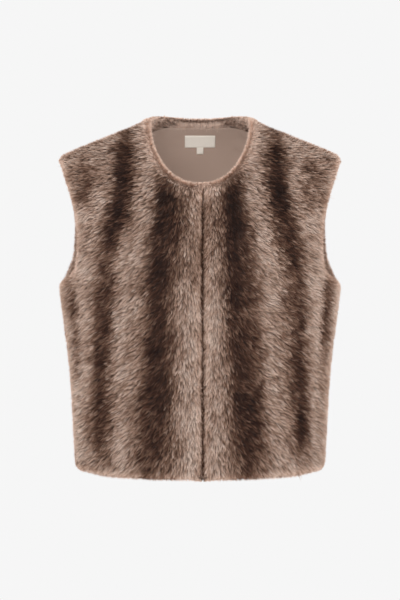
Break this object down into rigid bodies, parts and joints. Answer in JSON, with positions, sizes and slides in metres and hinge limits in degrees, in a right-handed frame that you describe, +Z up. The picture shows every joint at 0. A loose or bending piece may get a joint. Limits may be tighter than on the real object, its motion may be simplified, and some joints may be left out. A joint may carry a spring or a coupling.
{
  "type": "fur vest",
  "caption": "Sleeveless, collarless fur vest with a round neck, scooped armholes and fronts that meet edge to edge, lined; worn over the shoulders as an outer layer.",
  "frame": {"origin": "the middle of the line between the two shoulders, inside the neck, where the wearer's shoulders carry the vest", "axes": "+Z up, from the hem to the neck; -Y out of the front; +X towards the wearer's left"},
  "size_m": [0.4498, 0.2447, 0.5766],
  "materials": {
    "fur": "soft streaked pile",
    "lining": "smooth satin",
    "label": "woven matt"
  },
  "bodies": {
    "root": {"front_left": "fur", "front_right": "fur", "back": "fur", "lining_front_left": "lining", "lining_front_right": "lining", "lining_back": "lining", "neck_label": "label", "size_tab": "label"}
  },
  "joints": []
}
